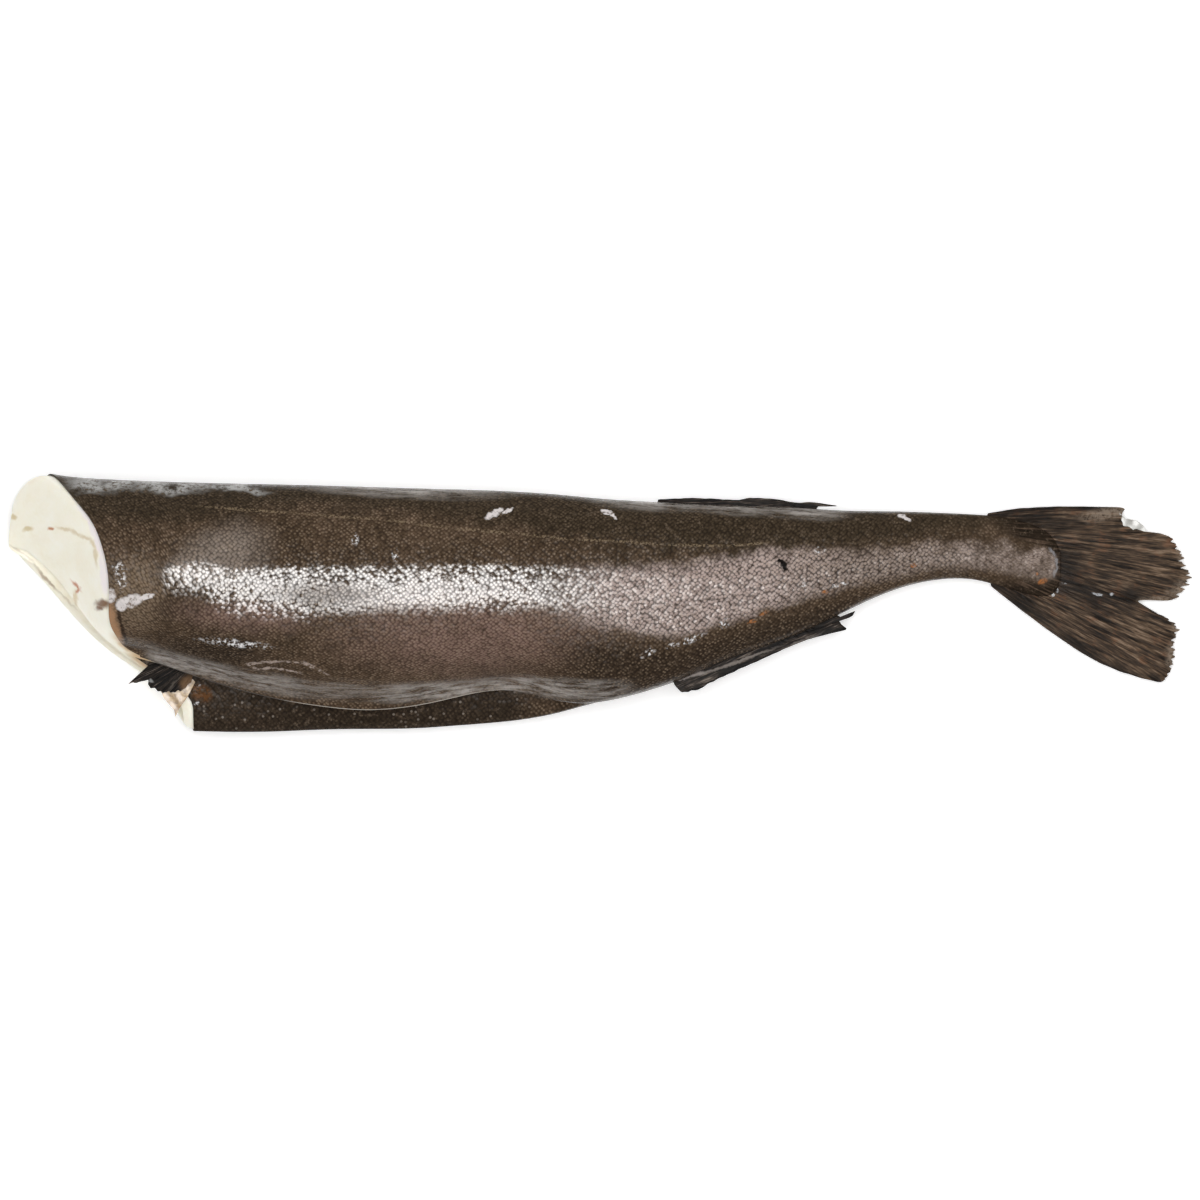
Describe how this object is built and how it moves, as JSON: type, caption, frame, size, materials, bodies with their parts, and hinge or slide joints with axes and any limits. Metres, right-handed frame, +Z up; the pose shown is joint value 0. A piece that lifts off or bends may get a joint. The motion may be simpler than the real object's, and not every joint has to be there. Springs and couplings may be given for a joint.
{
  "type": "headed and gutted sablefish, whole",
  "caption": "Whole dressed fish without its head, lying on its side: dark scaly skin over pale flesh, slit belly flaps folded together, folded fins and a forked tail.",
  "frame": {"origin": "middle of the bounding box, on the table that the fish lies on", "axes": "+X from the head cut to the tail, +Y towards the back, +Z up from the table; the fish lies on its right flank"},
  "size_m": [0.5972, 0.1306, 0.076],
  "materials": {
    "skin": "wet dark brown fish skin with fine scales",
    "flesh": "moist cream raw fish flesh",
    "fin": "limp near-black fin rays and web"
  },
  "bodies": {
    "root": {"skin": "skin", "flesh": "flesh", "tail_fin": "fin", "first_dorsal_fin": "fin", "second_dorsal_fin": "fin", "anal_fin": "fin", "pelvic_fin": "fin"}
  },
  "joints": []
}
